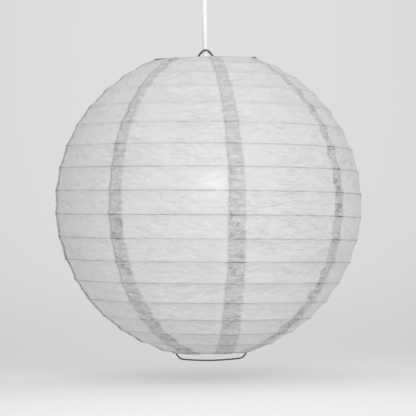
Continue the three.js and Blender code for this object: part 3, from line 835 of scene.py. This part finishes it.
def hem_rows(lift, angle, latitude, index):
    """Rows that carry the paper's edge over the ring's wire and back along its inside."""
    sign = 1 if latitude > 0 else -1
    turn = np.linspace(0, 180, WRAP_ROWS + 1)[1:]
    wrap = RING_WIRE_MM + 0.25 + lift
    centre_r = RING_R_MM * math.cos(math.radians(latitude))
    centre_z = RING_R_MM * math.sin(math.radians(latitude))
    rows = []
    a = np.radians(angle)

    def place(r, z):
        return np.stack([r * np.cos(a) * MM, r * np.sin(a) * MM, z * MM + CENTRE_Z], -1)

    for t in turn:
        b = math.radians(latitude + sign * t)
        rows.append(place(centre_r + wrap * math.cos(b), centre_z + wrap * math.sin(b)))
    inner = RING_R_MM - wrap
    for t in np.linspace(0, 1, FLAP_ROWS + 1)[1:]:
        reach = HEM_FLAP_MM * t * (1 + 0.12 * lattice_noise(angle / 2.5, angle * 0 + index, 91))
        b = np.radians(latitude) - sign * reach / RING_R_MM
        sway = 0.35 * t * lattice_noise(angle / 3.5, angle * 0 + index + 5 * t, 92)
        rows.append(place((inner - sway) * np.cos(b), (inner - sway) * np.sin(b)))
    return np.array(rows)


# ---- ceiling rose, holder and bulb ----------------------------------------------------------

def arc(centre_r, centre_z, reach_r, reach_z, start, end, steps):
    """Points [radius, z] on an arc, in mm."""
    angles = np.radians(np.linspace(start, end, steps + 1))
    return [[centre_r + reach_r * math.cos(a), centre_z + reach_z * math.sin(a)] for a in angles]


def rose_cover():
    """The hollow bowl under the ceiling, with a collar inside and a neck for the ball."""
    outer, recess, collar, neck = 40.0, 37.0, 32.6, 10.5  # radii
    seat = BALL_R_MM + 0.3
    rim, recess_top, shoulder, collar_end = -0.6, -5.6, -8.0, -15.0  # heights
    neck_top = PIVOT_Z_MM + 5
    inner_bottom = PIVOT_Z_MM + 7.5
    mouth_depth, wall, lip = 4.5, 4.7, 1.0
    mouth = PIVOT_Z_MM - mouth_depth
    mouth_angle = math.degrees(math.asin(mouth_depth / seat))
    collar_angle = math.degrees(math.asin((shoulder - collar_end) / (shoulder - inner_bottom)))
    outline = [
        *arc(0, PIVOT_Z_MM, seat, seat, -mouth_angle, 0, 8),
        *arc(seat, shoulder, outer - seat - wall, inner_bottom - shoulder, 90, collar_angle, 20),
        [collar, collar_end], [collar, recess_top], [recess, recess_top], [recess, rim], [outer, rim],
        *arc(neck, shoulder, outer - neck, shoulder - neck_top, 0, -90, 28),
        [neck, mouth + lip], [neck - lip, mouth],
    ]
    turned("cover", outline, WHITE_PLASTIC, "rose_lid", "rose_cover", 0.4)


def cord_grip():
    """The ball that grips the flex and sits in the cover's neck."""
    outline = [[0, PIVOT_Z_MM - BALL_R_MM], *arc(0, PIVOT_Z_MM, BALL_R_MM, BALL_R_MM, -85, 85, 20),
               [0, PIVOT_Z_MM + BALL_R_MM]]
    return turned("grip_ball", outline, NYLON, "grip_ball", "cord_grip", 0, 48)


def cord_boot():
    """The ribbed strain relief. Its flange carries the expander's top bars."""
    bore, neck, foot, ribs, flange = CORD_R_MM + 0.25, 5.2, 7.0, 3, 8.0
    ribbed_top = BOOT_TOP_MM - 3.4
    pitch = (ribbed_top - BOOT_BOTTOM_MM - 4) / ribs
    side = []
    for i in range(ribs):
        z, r = ribbed_top - pitch * i, neck + (foot - neck) * i / ribs
        side += [[r, z], [r, z - pitch * 0.35], [r + 0.8, z - pitch * 0.5], [r + 0.8, z - pitch * 0.85]]
    outline = [
        [bore, BOOT_BOTTOM_MM], [foot, BOOT_BOTTOM_MM], [foot, BOOT_BOTTOM_MM + 3], *side[::-1],
        [flange, BOOT_TOP_MM - 2.4], [flange, BOOT_TOP_MM], [bore, BOOT_TOP_MM],
    ]
    return turned("boot", outline, PVC, "pendant", "cord_boot", 0.4, 64)


def holder_cap():
    """The holder's domed top half."""
    hole, crown, drop, wall = CORD_R_MM + 0.35, 8.5, 25.7, 2.0
    bulge = HOLDER_R_MM - crown
    outline = [
        [hole, CAP_TOP_MM - wall],
        *arc(crown, CAP_TOP_MM - drop, bulge - wall, drop - wall, 90, 0, 18),
        [HOLDER_R_MM - wall, CAP_BOTTOM_MM], [HOLDER_R_MM, CAP_BOTTOM_MM],
        *arc(crown, CAP_TOP_MM - drop, bulge, drop, 0, 90, 18),
        [hole, CAP_TOP_MM],
    ]
    turned("cap_of_holder", outline, WHITE_PLASTIC, "pendant", "holder_cap", 0.3)


def holder_body():
    """The body with fine upright grip ribs round its skirt."""
    r, inner, skirt, groove = HOLDER_R_MM, HOLDER_R_MM - 2.9, HOLDER_R_MM + 1, 0.8
    top = BODY_BOTTOM_MM + 13
    outline = [
        [skirt - 2, BODY_BOTTOM_MM], [skirt, BODY_BOTTOM_MM], [skirt, top], [r, top + 1],
        [r, BODY_TOP_MM - 5], [r - groove, BODY_TOP_MM - 4.2], [r - groove, BODY_TOP_MM - 2.8],
        [r, BODY_TOP_MM - 2], [r, BODY_TOP_MM], [inner, BODY_TOP_MM], [inner, BODY_BOTTOM_MM + 4],
    ]

    def grip(radius, z, angle):
        on_skirt = (radius > skirt - 0.3) & (z < top - 0.5)
        return np.where(on_skirt, -0.22 * (1 + np.cos(36 * angle)), 0.0)

    turned("body_of_holder", outline, WHITE_PLASTIC, "pendant", "holder_body", 0.3, 216,
           grip)


def screw_thread(crest, depth, pitch, low, high):
    """A round-crested screw thread on the outer wall between two heights."""
    def cut(radius, z, angle):
        wave = 0.5 - 0.5 * np.cos(2 * np.pi * z / pitch - angle)
        inside = smoothstep(z, low, low + 2) * (1 - smoothstep(z, high - 2, high)) * (radius > crest - 0.3)
        return -depth * wave * inside
    return cut


def bulb_cap():
    """The screw cap, with its thread."""
    top, length, wall, crest = -208.3, 20.5, 1.2, 12.9
    low, high = top - length, top - 2
    outside = [[crest, z] for z in np.linspace(low, high, 60)]
    outline = [[crest - wall, low], *outside, [9.8, top], [9.8 - wall, top], [crest - wall - 0.7, high]]
    turned("screw_cap", outline, ALUMINIUM, "bulb", "bulb_cap", 0, 64,
           screw_thread(crest, 0.7, 3.6, low + 1, high))


def smooth_neck(side):
    """The straight run from globe to neck turned into one easy curve."""
    globe, neck = side[:-3], side[-3:]
    start, end = np.array(globe[-1]), np.array(neck[0])
    before = start - np.array(globe[-2])
    control = start + before / np.hypot(*before) * 16
    bend = []
    for t in np.linspace(0, 1, 14)[1:]:
        bend.append((1 - t) ** 2 * start + 2 * t * (1 - t) * control + t * t * end)
    return [list(point) for point in globe + bend] + neck[1:]


def bulb_glass():
    """The hollow opal globe and its neck, which ends inside the cap."""
    bottom, radius, top, wall, shoulder = -310.0, 30.0, -229.1, 1.0, 28

    def side(t):
        neck = 12.1 - t
        return [*arc(0, bottom + radius, radius - t, radius - t, -90, shoulder, 40),
                [neck + 1.2, top - 11], [neck + 0.2, top - 6.5], [neck, top]]

    outer, inner = side(0), side(wall)
    shape = smooth_neck(outer) + smooth_neck(inner)[::-1]
    turned("bulb_globe", shape, OPAL, "bulb", "bulb_glass", 0, 96)


def soft_edges(node, material):
    """A CAD piece shown as it is, with its edges rounded and its own material."""
    width_mm = 0.12
    piece = frame["nodes"][node]
    piece.data.materials.clear()
    piece.data.materials.append(material)
    bevel = piece.modifiers.new("edges", "BEVEL")
    bevel.width = width_mm * MM
    bevel.segments = 2
    bevel.limit_method = "ANGLE"
    bevel.angle_limit = math.radians(50)


rose_cover()
grip = cord_grip()
boot = cord_boot()
holder_cap()
holder_body()
bulb_cap()
bulb_glass()
for node, material in (
    ("rose_base", NYLON), ("rose_terminal_block", NYLON), ("rose_screw_left", STEEL),
    ("rose_screw_right", STEEL), ("holder_insert", PHENOLIC), ("holder_thread", BRASS),
    ("holder_contact", BRASS), ("bulb_tip", STEEL), ("bulb_insulator", BLACK),
):
    soft_edges(node, material)

spiral = spiral_rib()
top_ring = ring_wire("top_ring_wire", TOP_LATITUDE, "lantern", "top_ring")
bottom_ring = ring_wire("bottom_ring_wire", BOTTOM_LATITUDE, "lower_ring", "bottom_ring")
expander()
gores = [paper_gore(i) for i in range(GORES)]


# ---- floor and light ------------------------------------------------------------------------

def floor():
    """A pale floor just under the lantern, fading out into the backdrop."""
    below = (0, 0, -0.4975)
    bpy.ops.mesh.primitive_circle_add(vertices=96, radius=0.75, fill_type="NGON", location=below)
    disc = bpy.context.object
    disc.name = "floor"
    n = Nodes("floor")
    place = n.add("TexCoord").outputs["Object"]
    n.set(n.shader, Roughness=0.9, Specular_IOR_Level=0.1)
    n.shader.inputs["Base Color"].default_value = (0.92, 0.92, 0.92, 1)
    length = n.add("VectorMath", operation="LENGTH")
    n.link(place, length.inputs[0])
    fade = n.add("MapRange", interpolation_type="SMOOTHSTEP")
    n.set(fade, From_Min=0.12, From_Max=0.70, To_Min=0.42)
    n.link(length.outputs["Value"], fade.inputs["Value"])
    clear = n.add("BsdfTransparent")
    mix = n.add("MixShader")
    n.link(fade.outputs[0], mix.inputs[0])
    n.link(n.shader.outputs[0], mix.inputs[1])
    n.link(clear.outputs[0], mix.inputs[2])
    n.link(mix.outputs[0], n.output.inputs["Surface"])
    disc.data.materials.append(n.material)


def world():
    """Grey light from all round, brighter from below, and a grey backdrop for the camera with painted
    shade: darker in a band just under the horizon, lighter below it, and darker towards the sides.
    """
    made = bpy.data.worlds.new("studio")
    made.use_nodes = True
    bpy.context.scene.world = made
    tree = made.node_tree
    tree.nodes.clear()

    def add(kind, **settings):
        node = tree.nodes.new("ShaderNode" + kind)
        for name, value in settings.items():
            setattr(node, name, value)
        return node

    coord = add("TexCoord")
    split = add("SeparateXYZ")
    tree.links.new(coord.outputs["Generated"], split.inputs[0])

    def ramp(stops):
        """Greys by how far up a direction points, from -1 straight down to 1 straight up."""
        node = add("ValToRGB")
        scale = add("MapRange")
        scale.inputs["From Min"].default_value = -1.0
        scale.inputs["From Max"].default_value = 1.0
        tree.links.new(split.outputs["Z"], scale.inputs["Value"])
        tree.links.new(scale.outputs[0], node.inputs[0])
        elements = node.color_ramp.elements
        while len(elements) > 1:
            elements.remove(elements[-1])
        elements[0].position = (stops[0][0] + 1) / 2
        elements[0].color = (*grey(stops[0][1]), 1)
        for z, level in stops[1:]:
            element = elements.new((z + 1) / 2)
            element.color = (*grey(level), 1)
        return node

    seen = add("Background")
    lit = add("Background")
    # Painted shade on the backdrop: darker in a band just under the horizon, where a sweep would curve up,
    # and lighter below it, like a lit floor.
    backdrop = ramp([
        (-1.0, 0.86), (-0.083, 0.86), (-0.0795, 0.83), (-0.077, 0.80), (-0.074, 0.745), (-0.071, 0.69),
        (-0.067, 0.655), (-0.052, 0.640), (-0.04, 0.655), (-0.02, 0.69), (0.0, 0.705), (0.05, 0.715),
        (1.0, 0.70),
    ])
    ambient = ramp([(-1.0, 0.85), (-0.2, 0.74), (0.3, 0.62), (1.0, 0.62)])
    # Painted shade: the backdrop darker towards the sides.
    sideways = add("Math", operation="MULTIPLY")
    tree.links.new(split.outputs["X"], sideways.inputs[0])
    tree.links.new(split.outputs["X"], sideways.inputs[1])
    falloff = add("Math", operation="MULTIPLY_ADD")
    tree.links.new(sideways.outputs[0], falloff.inputs[0])
    falloff.inputs[1].default_value = -5.0
    falloff.inputs[2].default_value = 1.03
    least = add("Math", operation="MAXIMUM")
    tree.links.new(falloff.outputs[0], least.inputs[0])
    least.inputs[1].default_value = 0.9
    tree.links.new(backdrop.outputs[0], seen.inputs["Color"])
    tree.links.new(least.outputs[0], seen.inputs["Strength"])
    tree.links.new(ambient.outputs[0], lit.inputs["Color"])
    path = add("LightPath")
    mix = add("MixShader")
    out = add("OutputWorld")
    tree.links.new(path.outputs["Is Camera Ray"], mix.inputs[0])
    tree.links.new(lit.outputs[0], mix.inputs[1])
    tree.links.new(seen.outputs[0], mix.inputs[2])
    tree.links.new(mix.outputs[0], out.inputs["Surface"])


def area_light(name, place, size, power):
    """A round soft light that faces the lantern."""
    data = bpy.data.lights.new(name, "AREA")
    data.shape = "DISK"
    data.size = size
    data.energy = power
    light = bpy.data.objects.new(name, data)
    light.location = place
    light.rotation_euler = (Vector((0, 0, CENTRE_Z)) - Vector(place)).to_track_quat("-Z", "Y").to_euler()
    bpy.context.scene.collection.objects.link(light)


def glow_light():
    """The faint bright spot behind the front paper. It swings with the lantern."""
    data = bpy.data.lights.new("glow", "POINT")
    data.energy = 0.006
    data.shadow_soft_size = 0.004
    light = bpy.data.objects.new("glow", data)
    light.location = (0.005, -0.156, CENTRE_Z + 0.017)
    bpy.context.scene.collection.objects.link(light)
    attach(light, "pendant")


floor()
world()
area_light("key", (0.35, -2.0, 0.35), 1.2, 20.0)
area_light("overhead", (-0.1, -0.1, 1.6), 1.2, 3.5)
glow_light()
bpy.context.scene.view_settings.view_transform = "Standard"
